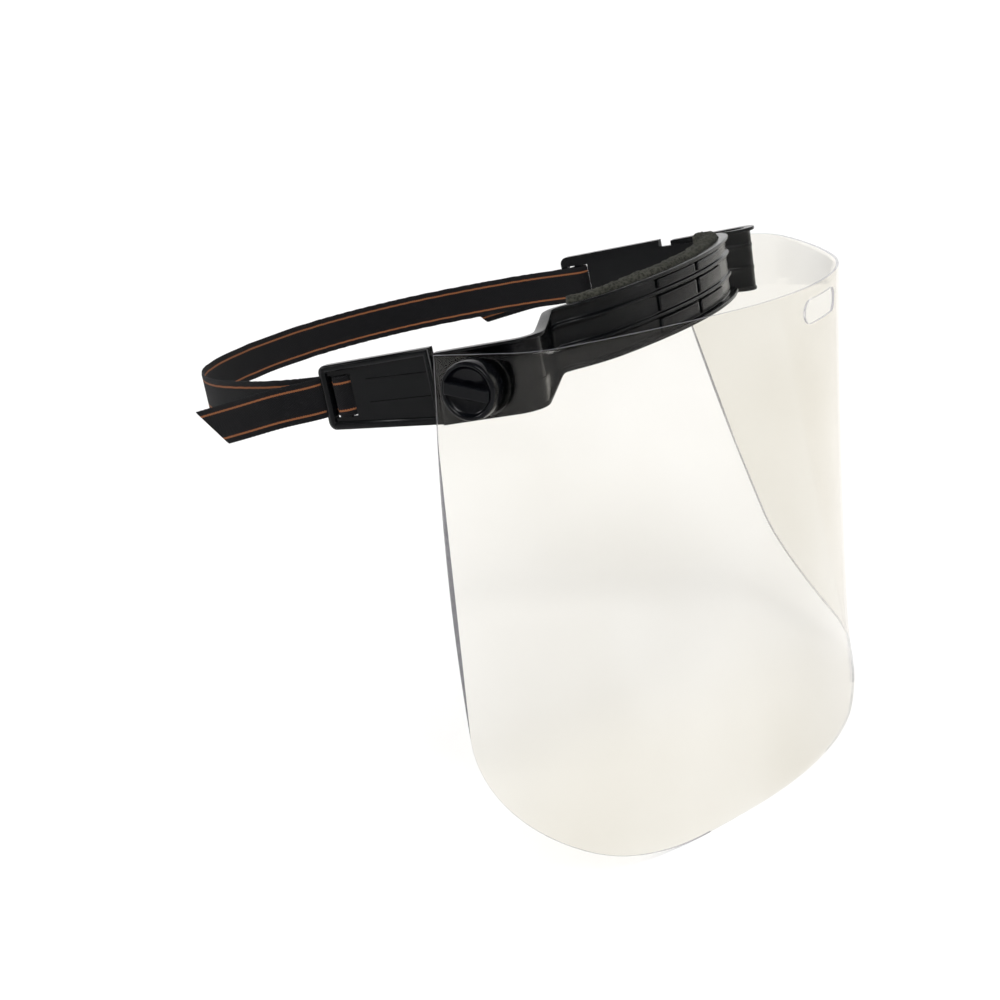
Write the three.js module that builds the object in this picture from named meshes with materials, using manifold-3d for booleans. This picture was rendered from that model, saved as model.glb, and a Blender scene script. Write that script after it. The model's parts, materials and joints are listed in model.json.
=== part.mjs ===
// Face shield: a clear visor clamped to a brow band by two side knobs, with rear arms and a woven strap.
// Millimetres, +Z up. The wearer looks along -Y, so the wearer's right side is -X.
// Every part is first placed about the pivot axis (the X axis); the finished assembly is then moved so
// that the origin is the middle of its underside.

import Module from "manifold-3d";
import * as THREE from "three";
import { mergeVertices } from "three/addons/utils/BufferGeometryUtils.js";

const degrees = THREE.MathUtils.degToRad;

// Fits shared by every part.
const CLEARANCE = 0.3;
const ROUND_SEGMENTS = 32;
const MAX_TURN = degrees(7);
const MAX_SPAN = 6;
// How far an added solid is sunk into its host, and how far a cutter reaches past the faces it cuts.
const SINK = 0.5;
const CUT_PAST = 1;
const BORE_PAST = 5;

// The pivot stack, from the wearer's head outward, as distances from the middle plane.
const ARM_INNER = 97.9;
const ARM_THICKNESS = 2.2;
const WASHER_THICKNESS = 0.8;
const PLATE_THICKNESS = 2.4;
const RIB_ON_PLATE = 0.2;
const SPACER_THICKNESS = 2.8;
const VISOR_THICKNESS = 1;
const KNOB_THICKNESS = 9;

const ARM_OUTER = ARM_INNER + ARM_THICKNESS;
const PLATE_INNER = ARM_OUTER + WASHER_THICKNESS + 2 * CLEARANCE;
const PLATE_OUTER = PLATE_INNER + PLATE_THICKNESS;
const SPACER_INNER = PLATE_OUTER + RIB_ON_PLATE + CLEARANCE;
const SPACER_OUTER = SPACER_INNER + SPACER_THICKNESS;
const VISOR_INNER = SPACER_OUTER + CLEARANCE;
const VISOR_OUTER = VISOR_INNER + VISOR_THICKNESS;
const FRICTION_INNER = VISOR_OUTER + CLEARANCE;
const KNOB_INNER = FRICTION_INNER + WASHER_THICKNESS + CLEARANCE;
const KNOB_OUTER = KNOB_INNER + KNOB_THICKNESS;

// Pivot hardware.
const BOLT_RADIUS = 3;
const BORE_RADIUS = BOLT_RADIUS + CLEARANCE;
const BOLT_HEAD_RADIUS = 7;
const BOLT_HEAD_THICKNESS = 2.8;
const BOLT_HEAD_EDGE = 0.8;
const BOLT_CROWN = { radius: 0.6 * BOLT_HEAD_RADIUS, rise: 0.4 };
const BOLT_CHAMFER = 0.5;
const WASHER_RADIUS = 8;
const SPACER_RADIUS = 11.3;
const KNOB_RADIUS = 10.6;
const KNOB_RIM_WIDTH = 1.8;
const KNOB_DISH_DEPTH = 2.6;
const KNOB_BASE_CHAMFER = 0.6;
const INSERT_RADIUS = 5;
const INSERT_LENGTH = 5;
const GRIP_WIDTH = 5;
const GRIP_TILT = degrees(12);

// Visor sheet: its plan is three arcs a side and a flat end, listed from the front centre to the rear edge.
const VISOR_HEIGHT = 187;
const VISOR_TOP = 11;
const VISOR_REAR = 17;
const VISOR_FLAT_SIDE = 31;
const VISOR_FRONT_TURN = degrees(32);
const VISOR_SIDE_ARCS = [
  { radius: 270, turn: degrees(14) },
  { radius: 24, turn: degrees(44) },
];
const VISOR_SPLAY = 0.5;
const VISOR_LEAN = 0.1;
const VISOR_CORNER = { along: 87, up: 56 };
const PIVOT_ZONE = 26;
const SLOT_LENGTH = 30;
const SLOT_HEIGHT = 9;
const SLOT_DROP = 5;

// Brow band: plan arcs from the front centre to the temple step, then the flat side plate.
const PLATE_SECTION = { bottom: -13, top: 13.4, lowerFlange: 0.4, upperFlange: 1.8, rib: RIB_ON_PLATE };
const BROW_SECTION = { bottom: -6.5, top: 17, lowerFlange: 3.2, upperFlange: 1.4, rib: 1.2 };
const BAND_WALL = 2.4;
const BAND_LIP = 1.4;
const SECTION_CHANGE = 12;
const PLATE_REAR = 19;
const PLATE_FRONT = 12;
const RIB_LEVELS = [0.36, 0.72];
const RIB_WIDTH = 2;
const BAND_ARCS = [
  { radius: 150, turn: degrees(20) },
  { radius: 28, turn: degrees(44) },
  { radius: 5, turn: degrees(-84) },
];
const STEP_HEADING = degrees(-20);
const STEP_RADIUS = 6;
const BAND_RISE = 0.12;
const FOAM_THICKNESS = 7;
const FOAM_RISE = 2;
const FOAM_END_GAP = 4;

// Rear arms and strap.
const ARM_LENGTH = 70;
const ARM_TONGUE_RADIUS = 11;
const ARM_SHOULDER = { along: 22, half: 14 };
const ARM_REAR_HALF = 12;
const ARM_CORNER = 3;
const ARM_BORDER = 2.8;
const ARM_RAISED = 0.7;
const ARM_RIBS = { heights: [-4, 4.6], width: 1.6, rear: 51, front: 24 };
const BUCKLE_SLOT = { front: 57.4, bar: 60.4, rear: 63.6, end: 67 };
const BUCKLE_SLOT_HEIGHT = 15.8;
const STRAP_WIDTH = 15;
const STRAP_THICKNESS = 0.9;
const STRAP_REAR = 172;
const HARNESS_DROOP = degrees(4.5);
const TAIL_LENGTH = 51;
const TAIL_DROP = 6;

const wasm = await Module();
wasm.setup();

// --- Solids ---------------------------------------------------------------------------------------

function vertexAt(positions, index) {
  return new THREE.Vector3().fromArray(positions, 3 * index);
}

function signedVolume(positions, triangles) {
  let volume = 0;
  for (let i = 0; i < triangles.length; i += 3) {
    const [a, b, c] = triangles.slice(i, i + 3).map((index) => vertexAt(positions, index));
    volume += a.dot(b.cross(c)) / 6;
  }
  return volume;
}

// A geometry from plain lists, with its faces turned outward.
function closedGeometry(positions, triangles) {
  const outward = signedVolume(positions, triangles) > 0 ? triangles : triangles.toReversed();
  const geometry = new THREE.BufferGeometry();
  geometry.setAttribute("position", new THREE.Float32BufferAttribute(positions, 3));
  geometry.setIndex(outward);
  return geometry;
}

// The same faces with shared corners joined and the faces that collapse to a line left out.
function welded(geometry) {
  const bare = geometry.clone();
  bare.deleteAttribute("normal");
  bare.deleteAttribute("uv");
  const joined = mergeVertices(bare, 1e-5);
  const corners = joined.index.array;
  const kept = [];
  for (let i = 0; i < corners.length; i += 3) {
    const [a, b, c] = corners.slice(i, i + 3);
    if (a !== b && b !== c && c !== a) {
      kept.push(a, b, c);
    }
  }
  return joined.setIndex(kept);
}

function toManifold(geometry) {
  const bare = welded(geometry);
  return new wasm.Manifold(
    new wasm.Mesh({
      numProp: 3,
      vertProperties: new Float32Array(bare.attributes.position.array),
      triVerts: new Uint32Array(bare.index.array),
    }),
  );
}

function fromManifold(manifold) {
  const mesh = manifold.getMesh();
  return closedGeometry(Array.from(mesh.vertProperties), Array.from(mesh.triVerts));
}

function subtract(geometry, cutters) {
  let solid = toManifold(geometry);
  for (const cutter of cutters) {
    solid = solid.subtract(toManifold(cutter));
  }
  return fromManifold(solid);
}

function unite(geometry, additions) {
  let solid = toManifold(geometry);
  for (const addition of additions) {
    solid = solid.add(toManifold(addition));
  }
  return fromManifold(solid);
}

// The same part on the wearer's left side.
function mirrored(geometry) {
  const copy = welded(geometry);
  copy.scale(-1, 1, 1);
  return closedGeometry(Array.from(copy.attributes.position.array), Array.from(copy.index.array));
}

// A solid skinned over rings of points; `outline` is one ring seen flat and closes both ends.
function loft(rings, outline) {
  const count = outline.length;
  const positions = rings.flat().flatMap((point) => point.toArray());
  const triangles = [];
  for (let ring = 0; ring < rings.length - 1; ring += 1) {
    for (let i = 0; i < count; i += 1) {
      const a = ring * count + i;
      const b = ring * count + ((i + 1) % count);
      triangles.push(a, b, b + count, a, b + count, a + count);
    }
  }
  const last = (rings.length - 1) * count;
  const runsLeft = THREE.ShapeUtils.area(outline) > 0;
  for (const [a, b, c] of THREE.ShapeUtils.triangulateShape(outline, [])) {
    const agrees = THREE.ShapeUtils.area([outline[a], outline[b], outline[c]]) > 0 === runsLeft;
    const [second, third] = agrees ? [b, c] : [c, b];
    triangles.push(a, third, second, last + a, last + second, last + third);
  }
  return closedGeometry(positions, triangles);
}

// A solid of revolution about the X axis; each profile point is [radius, distance from middle plane],
// placed on the wearer's right.
function turned(profile) {
  const points = profile.map(([radius, outward]) => new THREE.Vector2(radius, outward));
  return new THREE.LatheGeometry(points, ROUND_SEGMENTS).rotateZ(Math.PI / 2);
}

function disc(radius, inner, outer) {
  return turned([
    [0, inner],
    [radius, inner],
    [radius, outer],
    [0, outer],
  ]);
}

function ring(radius, bore, inner, outer) {
  return turned([
    [bore, inner],
    [radius, inner],
    [radius, outer],
    [bore, outer],
    [bore, inner],
  ]);
}

// A box on the wearer's right, given by its inner and outer distance and its ranges along Y and Z.
function sideBox(inner, outer, [rear, front], [bottom, top]) {
  const box = new THREE.BoxGeometry(outer - inner, rear - front, top - bottom);
  return box.translate(-(inner + outer) / 2, (rear + front) / 2, (bottom + top) / 2);
}

// A flat shape drawn in Y and Z, given thickness on the wearer's right.
function sidePlate(shape, inner, outer) {
  const geometry = new THREE.ExtrudeGeometry(shape, {
    depth: outer - inner,
    bevelEnabled: false,
    curveSegments: 10,
  });
  const yAxis = new THREE.Vector3(0, 1, 0);
  const zAxis = new THREE.Vector3(0, 0, 1);
  const xAxis = new THREE.Vector3(1, 0, 0);
  const turn = new THREE.Matrix4().makeBasis(yAxis, zAxis, xAxis);
  return geometry.applyMatrix4(turn).translate(-outer, 0, 0);
}

// --- Plan curves ----------------------------------------------------------------------------------

// Walks along arcs that start at the front centre heading sideways, then straight on.
// `opening` below 1 unbends every arc, as when a curved sheet is let spring wider.
function walkPlan(arcs, distance, opening = 1) {
  let heading = 0;
  let across = 0;
  let back = 0;
  let left = distance;
  for (const { radius, turn } of arcs) {
    const length = Math.min(left, radius * Math.abs(turn));
    const bend = (Math.sign(turn) * opening) / radius;
    const next = heading + length * bend;
    across += (Math.sin(next) - Math.sin(heading)) / bend;
    back += (Math.cos(heading) - Math.cos(next)) / bend;
    heading = next;
    left -= length;
  }
  across += left * Math.cos(heading);
  back += left * Math.sin(heading);
  return { across, back, heading };
}

function arcLength(arcs) {
  return arcs.reduce((sum, { radius, turn }) => sum + radius * Math.abs(turn), 0);
}

// The point at a signed distance from the front centre, offset outward, at a height.
function planPoint(arcs, distance, outward, height, front, opening) {
  const side = Math.sign(distance);
  const { across, back, heading } = walkPlan(arcs, Math.abs(distance), opening);
  const x = side * (across + outward * Math.sin(heading));
  const y = front + back - outward * Math.cos(heading);
  return new THREE.Vector3(x, y, height);
}

// --- Visor ----------------------------------------------------------------------------------------

function visorArcs() {
  const middle = (VISOR_INNER + VISOR_OUTER) / 2;
  let heading = VISOR_FRONT_TURN;
  let sideWidth = 0;
  for (const { radius, turn } of VISOR_SIDE_ARCS) {
    sideWidth += radius * (Math.sin(heading + turn) - Math.sin(heading));
    heading += turn;
  }
  const frontRadius = (middle - sideWidth) / Math.sin(VISOR_FRONT_TURN);
  return [{ radius: frontRadius, turn: VISOR_FRONT_TURN }, ...VISOR_SIDE_ARCS];
}

// How far the sheet hangs below its top edge at a distance in from its rear edge.
function visorDrop(fromRear) {
  const { along, up } = VISOR_CORNER;
  const inset = Math.max(0, 1 - fromRear / along);
  return VISOR_HEIGHT - up * (1 - Math.sqrt(1 - inset * inset));
}

// Maps -1..1 onto itself with the steps drawn closer together toward both ends.
function crowded(share) {
  return 0.8 * Math.sin((share * Math.PI) / 2) + 0.2 * share;
}

function makeVisor() {
  const arcs = visorArcs();
  const halfLength = arcLength(arcs) + VISOR_FLAT_SIDE;
  const front = VISOR_REAR - walkPlan(arcs, halfLength).back;
  const halfThickness = VISOR_THICKNESS / 2;
  const columns = 48;
  const lowerRows = 9;
  const outline = [];
  const rings = [];
  for (let column = 0; column <= columns; column += 1) {
    const distance = halfLength * crowded((2 * column) / columns - 1);
    const drop = visorDrop(halfLength - Math.abs(distance));
    const outer = [];
    const inner = [];
    for (let row = -1; row <= lowerRows; row += 1) {
      const below = Math.max(0, row) / lowerRows;
      const depth = row < 0 ? 0 : PIVOT_ZONE + (drop - PIVOT_ZONE) * below;
      const freed = Math.max(0, depth - PIVOT_ZONE) / (VISOR_HEIGHT - PIVOT_ZONE);
      const opening = 1 - VISOR_SPLAY * freed;
      const height = VISOR_TOP - depth;
      const frontHere = front + VISOR_LEAN * depth;
      outer.push(planPoint(arcs, distance, halfThickness, height, frontHere, opening));
      inner.push(planPoint(arcs, distance, -halfThickness, height, frontHere, opening));
      if (column === 0) {
        outline.push(new THREE.Vector2(halfThickness, height));
      }
    }
    rings.push([...outer, ...inner.reverse()]);
  }
  for (const point of outline.toReversed()) {
    outline.push(new THREE.Vector2(-halfThickness, point.y));
  }
  const sheet = loft(rings, outline);
  const reach = VISOR_OUTER + BORE_PAST;
  const pivotHoles = turned([
    [0, -reach],
    [BORE_RADIUS, -reach],
    [BORE_RADIUS, reach],
    [0, reach],
  ]);
  return subtract(sheet, [pivotHoles, slotCutter(front)]);
}

// The oblong hanging slot near the top of the visor's front.
function slotCutter(front) {
  const radius = SLOT_HEIGHT / 2;
  const half = SLOT_LENGTH / 2 - radius;
  const depth = 20;
  const shape = new THREE.Shape();
  shape.absarc(half, 0, radius, -Math.PI / 2, Math.PI / 2);
  shape.absarc(-half, 0, radius, Math.PI / 2, (3 * Math.PI) / 2);
  const cutter = new THREE.ExtrudeGeometry(shape, { depth, bevelEnabled: false, curveSegments: 8 });
  const height = VISOR_TOP - SLOT_DROP - radius;
  return cutter.rotateX(Math.PI / 2).translate(0, front + depth / 2, height);
}

// --- Brow band ------------------------------------------------------------------------------------

function bandArcs() {
  const middle = (PLATE_INNER + PLATE_OUTER) / 2;
  const temple = walkPlan(BAND_ARCS, arcLength(BAND_ARCS)).across;
  const lastTurn = { radius: STEP_RADIUS, turn: Math.PI / 2 - STEP_HEADING };
  const lastWidth = STEP_RADIUS * (1 - Math.sin(STEP_HEADING));
  const stepLength = (middle - temple - lastWidth) / Math.cos(STEP_HEADING);
  const nearlyStraight = 1e5;
  const step = { radius: nearlyStraight, turn: stepLength / nearlyStraight };
  lastTurn.turn -= step.turn;
  return [...BAND_ARCS, step, lastTurn];
}

function bandLayout() {
  const arcs = bandArcs();
  const plateStart = arcLength(arcs);
  const halfLength = plateStart + PLATE_FRONT + PLATE_REAR;
  const front = PLATE_REAR - walkPlan(arcs, halfLength).back;
  return { arcs, plateStart, halfLength, front };
}

// Places along half the band, close together on the tight arcs of the temple step.
function bandStations({ arcs, halfLength }) {
  const stations = [0];
  let start = 0;
  for (const { radius, turn } of arcs) {
    const length = radius * Math.abs(turn);
    const pieces = Math.ceil(Math.max(Math.abs(turn) / MAX_TURN, length / MAX_SPAN));
    for (let piece = 1; piece <= pieces; piece += 1) {
      stations.push(start + (length * piece) / pieces);
    }
    start += length;
  }
  stations.push(halfLength);
  return stations;
}

function bothSides(stations) {
  const leftSide = stations.slice(1);
  return [...leftSide.map((distance) => -distance).reverse(), ...stations];
}

// The wall's cross-section: lips at top and bottom and two long ribs, as [outward, height].
function bandSection({ bottom, top, lowerFlange, upperFlange, rib }) {
  const inner = -BAND_WALL / 2;
  const outer = BAND_WALL / 2;
  const points = [
    [inner, bottom],
    [outer + lowerFlange, bottom],
    [outer + lowerFlange, bottom + BAND_LIP],
    [outer, bottom + BAND_LIP],
  ];
  for (const level of RIB_LEVELS) {
    const height = THREE.MathUtils.lerp(bottom, top, level);
    points.push([outer, height - RIB_WIDTH / 2]);
    points.push([outer + rib, height - RIB_WIDTH / 4]);
    points.push([outer + rib, height + RIB_WIDTH / 4]);
    points.push([outer, height + RIB_WIDTH / 2]);
  }
  points.push([outer, top - BAND_LIP]);
  points.push([outer + upperFlange, top - BAND_LIP]);
  points.push([outer + upperFlange, top]);
  points.push([inner, top]);
  return points;
}

// A point on the band, which climbs steadily toward the brow.
function bandPoint({ arcs, front }, distance, outward, height) {
  const point = planPoint(arcs, distance, outward, height, front);
  point.z -= BAND_RISE * point.y;
  return point;
}

// The brow's section changes to the plate's over the temple step.
function makeBrowBand() {
  const layout = bandLayout();
  const { lerp, smoothstep } = THREE.MathUtils;
  const changeStart = arcLength(BAND_ARCS) - SECTION_CHANGE;
  const changeEnd = layout.plateStart - STEP_RADIUS;
  const rings = bothSides(bandStations(layout)).map((distance) => {
    const share = smoothstep(Math.abs(distance), changeStart, changeEnd);
    const sizes = Object.keys(BROW_SECTION).map((key) => [
      key,
      lerp(BROW_SECTION[key], PLATE_SECTION[key], share),
    ]);
    return bandSection(Object.fromEntries(sizes)).map(([outward, height]) =>
      bandPoint(layout, distance, outward, height),
    );
  });
  const outline = bandSection(BROW_SECTION);
  const bore = disc(BORE_RADIUS, PLATE_INNER - BORE_PAST, PLATE_OUTER + BORE_PAST);
  return subtract(loft(rings, outline.map(([x, y]) => new THREE.Vector2(x, y))), [
    bore,
    mirrored(bore),
  ]);
}

function makeSweatband() {
  const layout = bandLayout();
  const outer = -BAND_WALL / 2 - CLEARANCE;
  const inner = outer - FOAM_THICKNESS;
  const bottom = BROW_SECTION.bottom + FOAM_RISE;
  const top = BROW_SECTION.top + FOAM_RISE;
  const section = [
    [inner, bottom],
    [outer, bottom],
    [outer, top],
    [inner, top],
  ];
  const foamEnd = arcLength(BAND_ARCS.slice(0, 2)) - FOAM_END_GAP;
  const stations = bandStations(layout).filter((distance) => distance < foamEnd);
  const rings = bothSides([...stations, foamEnd]).map((distance) =>
    section.map(([outward, height]) => bandPoint(layout, distance, outward, height)),
  );
  return loft(rings, section.map(([x, y]) => new THREE.Vector2(x, y)));
}

// --- Pivot hardware, wearer's right ---------------------------------------------------------------

function makeBolt() {
  const underHead = ARM_INNER - WASHER_THICKNESS - 2 * CLEARANCE;
  const crown = underHead - BOLT_HEAD_THICKNESS;
  const tip = KNOB_INNER + INSERT_LENGTH;
  return turned([
    [0, crown],
    [BOLT_CROWN.radius, crown + BOLT_CROWN.rise],
    [BOLT_HEAD_RADIUS, underHead - BOLT_HEAD_EDGE],
    [BOLT_HEAD_RADIUS, underHead],
    [BOLT_RADIUS, underHead],
    [BOLT_RADIUS, tip - BOLT_CHAMFER],
    [BOLT_RADIUS - BOLT_CHAMFER, tip],
    [0, tip],
  ]);
}

function washer(radius, inner) {
  return ring(radius, BORE_RADIUS, inner, inner + WASHER_THICKNESS);
}

// A shallow dish inside a raised rim, a grip bar across it, and a blind pocket for the insert.
function makeKnob() {
  const rimInner = KNOB_RADIUS - KNOB_RIM_WIDTH;
  const rimMiddle = KNOB_RADIUS - KNOB_RIM_WIDTH / 2;
  const dishFloor = KNOB_OUTER - KNOB_DISH_DEPTH;
  const body = turned([
    [0, KNOB_INNER],
    [KNOB_RADIUS - KNOB_BASE_CHAMFER, KNOB_INNER],
    [KNOB_RADIUS, KNOB_INNER + KNOB_BASE_CHAMFER],
    [KNOB_RADIUS - 0.4, KNOB_OUTER - 1.6],
    [rimMiddle, KNOB_OUTER - 0.8],
    [rimInner, KNOB_OUTER - 1.4],
    [rimInner - 1.4, dishFloor],
    [0, dishFloor],
  ]);
  const halfWidth = GRIP_WIDTH / 2;
  const reach = rimInner + 0.4;
  const grip = sideBox(dishFloor - SINK, KNOB_OUTER, [halfWidth, -halfWidth], [-reach, reach]);
  grip.rotateX(Math.PI / 2 + GRIP_TILT);
  const pocketEnd = KNOB_INNER + INSERT_LENGTH + 3 * CLEARANCE;
  const pocket = disc(INSERT_RADIUS + CLEARANCE, KNOB_INNER - CUT_PAST, pocketEnd);
  return subtract(unite(body, [grip]), [pocket]);
}

function makeInsert() {
  const inner = KNOB_INNER + CLEARANCE;
  return ring(INSERT_RADIUS, BORE_RADIUS, inner, inner + INSERT_LENGTH);
}

// --- Rear arm and strap ---------------------------------------------------------------------------

// The framed part of the arm behind its shoulders, drawn a little inside its edge.
function armFrame(inset) {
  const shape = new THREE.Shape();
  const corner = ARM_CORNER - inset;
  const centre = { along: ARM_LENGTH - ARM_CORNER, up: ARM_REAR_HALF - ARM_CORNER };
  const shoulder = { along: ARM_SHOULDER.along + inset, up: ARM_SHOULDER.half - inset };
  shape.moveTo(shoulder.along, shoulder.up);
  shape.lineTo(shoulder.along, -shoulder.up);
  shape.absarc(centre.along, -centre.up, corner, -Math.PI / 2, 0);
  shape.absarc(centre.along, centre.up, corner, 0, Math.PI / 2);
  return shape;
}

// A tongue round the bolt, then the framed part with its raised border, ribs and buckle slots.
function makeArm() {
  const tongue = new THREE.Shape();
  tongue.absarc(0, 0, ARM_TONGUE_RADIUS, Math.PI / 2, (3 * Math.PI) / 2);
  tongue.lineTo(ARM_SHOULDER.along + 2 * SINK, -ARM_TONGUE_RADIUS);
  tongue.lineTo(ARM_SHOULDER.along + 2 * SINK, ARM_TONGUE_RADIUS);
  const raised = ARM_OUTER + ARM_RAISED;
  const border = subtract(sidePlate(armFrame(0), ARM_OUTER - SINK, raised), [
    sidePlate(armFrame(ARM_BORDER), ARM_OUTER - CUT_PAST, raised + CUT_PAST),
  ]);
  const frame = sidePlate(armFrame(0), ARM_INNER, ARM_OUTER);
  const plate = unite(sidePlate(tongue, ARM_INNER, ARM_OUTER), [frame, border]);
  const bore = disc(BORE_RADIUS, ARM_INNER - CUT_PAST, ARM_OUTER + CUT_PAST);
  const slotEnds = [-BUCKLE_SLOT_HEIGHT / 2, BUCKLE_SLOT_HEIGHT / 2];
  const slots = [
    [BUCKLE_SLOT.bar, BUCKLE_SLOT.front],
    [BUCKLE_SLOT.end, BUCKLE_SLOT.rear],
  ].map((span) => sideBox(ARM_INNER - CUT_PAST, ARM_OUTER + CUT_PAST, span, slotEnds));
  const { heights, width, rear, front } = ARM_RIBS;
  const ribs = heights.map((height) =>
    sideBox(ARM_OUTER - SINK, raised, [rear, front], [height - width / 2, height + width / 2]),
  );
  return subtract(unite(plate, ribs), [bore, ...slots]).rotateX(-HARNESS_DROOP);
}

// Half of the strap's middle line on the wearer's left, from the tail's tip through the buckle to the
// back of the head. It doubles back over the buckle's bar and passes twice inside the end bar.
function strapHalfPath() {
  const outside = ARM_OUTER + CLEARANCE + STRAP_THICKNESS;
  const middle = (ARM_INNER + ARM_OUTER) / 2;
  const returned = ARM_INNER - CLEARANCE - STRAP_THICKNESS / 2 - 0.1;
  const standing = returned - STRAP_THICKNESS - 0.6;
  const frontGap = (BUCKLE_SLOT.front + BUCKLE_SLOT.bar) / 2 - 0.3;
  const rearGap = (BUCKLE_SLOT.rear + BUCKLE_SLOT.end) / 2;
  const tailEnd = ARM_LENGTH + TAIL_LENGTH;
  return [
    [outside + 1, tailEnd, -TAIL_DROP],
    [outside + 2.4, ARM_LENGTH + TAIL_LENGTH * 0.7, -TAIL_DROP * 0.62],
    [outside + 1.6, ARM_LENGTH + TAIL_LENGTH * 0.38, -TAIL_DROP * 0.24],
    [middle, ARM_LENGTH + 6, -0.6],
    [returned, ARM_LENGTH, 0],
    [returned, rearGap + 2, 0],
    [middle, rearGap - 0.4, 0],
    [outside, BUCKLE_SLOT.bar + 3.3, 0],
    [outside, BUCKLE_SLOT.bar + 0.3, 0],
    [middle, frontGap, 0],
    [standing + 0.5, frontGap + 1.4, 0],
    [standing, BUCKLE_SLOT.bar + 3, 0],
    [standing, ARM_LENGTH, 0],
    [standing, ARM_LENGTH + 12, 0],
    [standing - 4, ARM_LENGTH + 32, 0],
    [standing - 22, STRAP_REAR - 34, 0],
    [standing - 52, STRAP_REAR - 9, 0],
    [0, STRAP_REAR, 0],
  ];
}

function makeStrap() {
  const half = strapHalfPath();
  const others = half.slice(0, -1).reverse();
  const points = [...half, ...others.map(([x, y, z]) => [-x, y, z])];
  const path = new THREE.CatmullRomCurve3(points.map((point) => new THREE.Vector3(...point)));
  path.curveType = "centripetal";
  const stepsPerSpan = 5;
  const steps = stepsPerSpan * (points.length - 1);
  const section = [
    [-STRAP_THICKNESS / 2, -STRAP_WIDTH / 2],
    [STRAP_THICKNESS / 2, -STRAP_WIDTH / 2],
    [STRAP_THICKNESS / 2, STRAP_WIDTH / 2],
    [-STRAP_THICKNESS / 2, STRAP_WIDTH / 2],
  ];
  const vertical = new THREE.Vector3(0, 0, 1);
  const rings = [];
  for (let step = 0; step <= steps; step += 1) {
    const centre = path.getPoint(step / steps);
    const tangent = path.getTangent(step / steps);
    const across = new THREE.Vector3().crossVectors(tangent, vertical).normalize();
    const wide = new THREE.Vector3().crossVectors(across, tangent);
    rings.push(
      section.map(([thin, width]) =>
        centre.clone().addScaledVector(across, thin).addScaledVector(wide, width),
      ),
    );
  }
  const outline = section.map(([x, y]) => new THREE.Vector2(x, y));
  return loft(rings, outline).rotateX(-HARNESS_DROOP);
}

// --- Assembly -------------------------------------------------------------------------------------

const glossPlastic = { color: 0x111216, roughness: 0.22, metalness: 0 };
const clearSheet = { color: 0xe6e9ea, roughness: 0.05, metalness: 0, transparent: true, opacity: 0.3 };
const foam = { color: 0x46463c, roughness: 0.95, metalness: 0 };
const webbing = { color: 0x19181a, roughness: 0.85, metalness: 0 };
const steel = { color: 0x9a9c9f, roughness: 0.35, metalness: 1 };
const nylon = { color: 0x2a2b2e, roughness: 0.5, metalness: 0 };

function buildParts() {
  const parts = [
    ["brow_band", makeBrowBand(), glossPlastic],
    ["sweatband_foam", makeSweatband(), foam],
    ["visor", makeVisor(), clearSheet],
    ["rear_strap", makeStrap(), webbing],
  ];
  const headWasherInner = ARM_INNER - CLEARANCE - WASHER_THICKNESS;
  const pairs = [
    ["pivot_bolt", makeBolt(), steel],
    ["head_washer", washer(WASHER_RADIUS, headWasherInner), steel],
    ["arm_washer", washer(WASHER_RADIUS, ARM_OUTER + CLEARANCE), nylon],
    ["spacer_disc", ring(SPACER_RADIUS, BORE_RADIUS, SPACER_INNER, SPACER_OUTER), glossPlastic],
    ["friction_washer", washer(WASHER_RADIUS + 1, FRICTION_INNER), nylon],
    ["knob", makeKnob(), glossPlastic],
    ["knob_insert", makeInsert(), steel],
    ["arm", makeArm(), glossPlastic],
  ];
  for (const [name, geometry, look] of pairs) {
    parts.push([`${name}_right`, geometry, look]);
    parts.push([`${name}_left`, mirrored(geometry), look]);
  }
  return parts;
}

function undersideMiddle(parts) {
  const bounds = new THREE.Box3();
  for (const [, geometry] of parts) {
    geometry.computeBoundingBox();
    bounds.union(geometry.boundingBox);
  }
  const middle = bounds.getCenter(new THREE.Vector3());
  return new THREE.Vector3(middle.x, middle.y, bounds.min.z);
}

const shield = new THREE.Group();
shield.name = "face_shield";
const parts = buildParts();
const origin = undersideMiddle(parts);
for (const [name, geometry, look] of parts) {
  geometry.translate(-origin.x, -origin.y, -origin.z);
  const mesh = new THREE.Mesh(geometry, new THREE.MeshStandardMaterial(look));
  mesh.name = name;
  shield.add(mesh);
}

export default shield;
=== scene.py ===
"""Face shield: the visual model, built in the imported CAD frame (metres, +Z up, wearer looks along -Y)."""

import json
import math
from collections import namedtuple

import bpy
from mathutils import Matrix, Vector, noise


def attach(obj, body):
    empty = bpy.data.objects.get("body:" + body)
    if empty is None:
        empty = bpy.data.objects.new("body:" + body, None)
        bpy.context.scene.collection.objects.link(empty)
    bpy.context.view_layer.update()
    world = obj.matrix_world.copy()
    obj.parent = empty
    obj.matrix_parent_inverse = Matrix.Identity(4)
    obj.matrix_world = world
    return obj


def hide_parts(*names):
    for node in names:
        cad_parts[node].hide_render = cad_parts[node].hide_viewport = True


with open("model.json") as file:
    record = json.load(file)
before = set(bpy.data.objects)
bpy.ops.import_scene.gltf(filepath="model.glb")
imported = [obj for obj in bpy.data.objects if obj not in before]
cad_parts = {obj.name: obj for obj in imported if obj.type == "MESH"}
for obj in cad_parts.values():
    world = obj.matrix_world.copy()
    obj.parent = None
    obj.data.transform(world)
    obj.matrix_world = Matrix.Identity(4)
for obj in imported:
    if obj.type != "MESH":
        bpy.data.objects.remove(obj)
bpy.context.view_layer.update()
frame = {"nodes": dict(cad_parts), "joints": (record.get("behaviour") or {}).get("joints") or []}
VISOR_LIFT = next(joint for joint in frame["joints"] if joint["name"] == "visor_lift")
PIVOT = Vector(VISOR_LIFT["pos_m"])
MM = 0.001
UP = Vector((0, 0, 1))

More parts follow.
